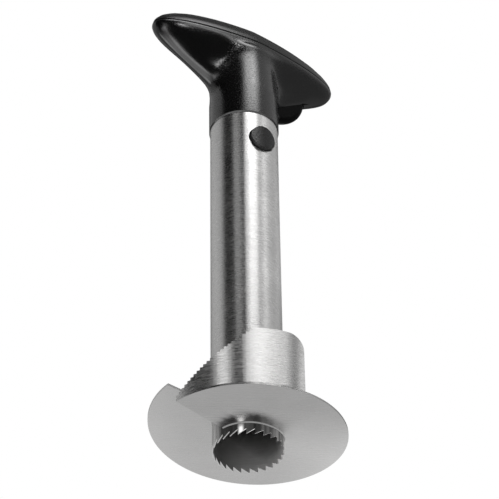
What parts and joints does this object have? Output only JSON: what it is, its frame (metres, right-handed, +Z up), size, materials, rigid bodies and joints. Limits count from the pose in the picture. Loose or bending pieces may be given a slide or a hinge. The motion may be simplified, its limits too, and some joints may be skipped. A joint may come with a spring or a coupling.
{
  "type": "pineapple slicer",
  "caption": "Pineapple slicer: a toothed coring tube, a helical slicing blade with a serrated ring wall, and a T-shaped grip held by a push-button latch.",
  "frame": {"origin": "on the tube's axis, at the tips of the core cutter's teeth", "axes": "+Z up the tube to the grip, X along the grip, -Y and +Y through the two latch buttons"},
  "size_m": [0.104, 0.089, 0.2533],
  "materials": {
    "tube_steel": "stainless steel, brushed round the tube",
    "cutter_steel": "stainless steel, satin",
    "blade_steel": "stainless steel, finely brushed",
    "weld_steel": "ground weld",
    "handle_plastic": "finely grained satin black",
    "cover_plastic": "soft satin black",
    "latch_plastic": "plain moulded black",
    "button_plastic": "satin black",
    "spring_steel": "drawn stainless wire",
    "screw_steel": "plain stainless"
  },
  "bodies": {
    "slicer": {"core_tube": "tube_steel", "core_cutter": "cutter_steel", "spiral_blade": "blade_steel", "ring_wall": "blade_steel", "hub_weld": "weld_steel", "rim_weld": "weld_steel", "handle_body": "handle_plastic", "handle_cover": "cover_plastic", "latch_plug": "latch_plastic", "plug_cap": "latch_plastic", "plug_screws": "screw_steel", "spring_front": "spring_steel", "spring_back": "spring_steel"},
    "button_front": {"button_front": "button_plastic"},
    "button_back": {"button_back": "button_plastic"}
  },
  "joints": [
    {"name": "press_front", "type": "slide", "parent": "slicer", "child": "button_front", "axis": [0, 1, 0], "range_m": [0, 0.0032], "stiffness_N_per_m": 800, "springref_m": -0.003, "deforming": ["spring_front"]},
    {"name": "press_back", "type": "slide", "parent": "slicer", "child": "button_back", "axis": [0, -1, 0], "range_m": [0, 0.0032], "stiffness_N_per_m": 800, "springref_m": -0.003, "deforming": ["spring_back"]}
  ]
}
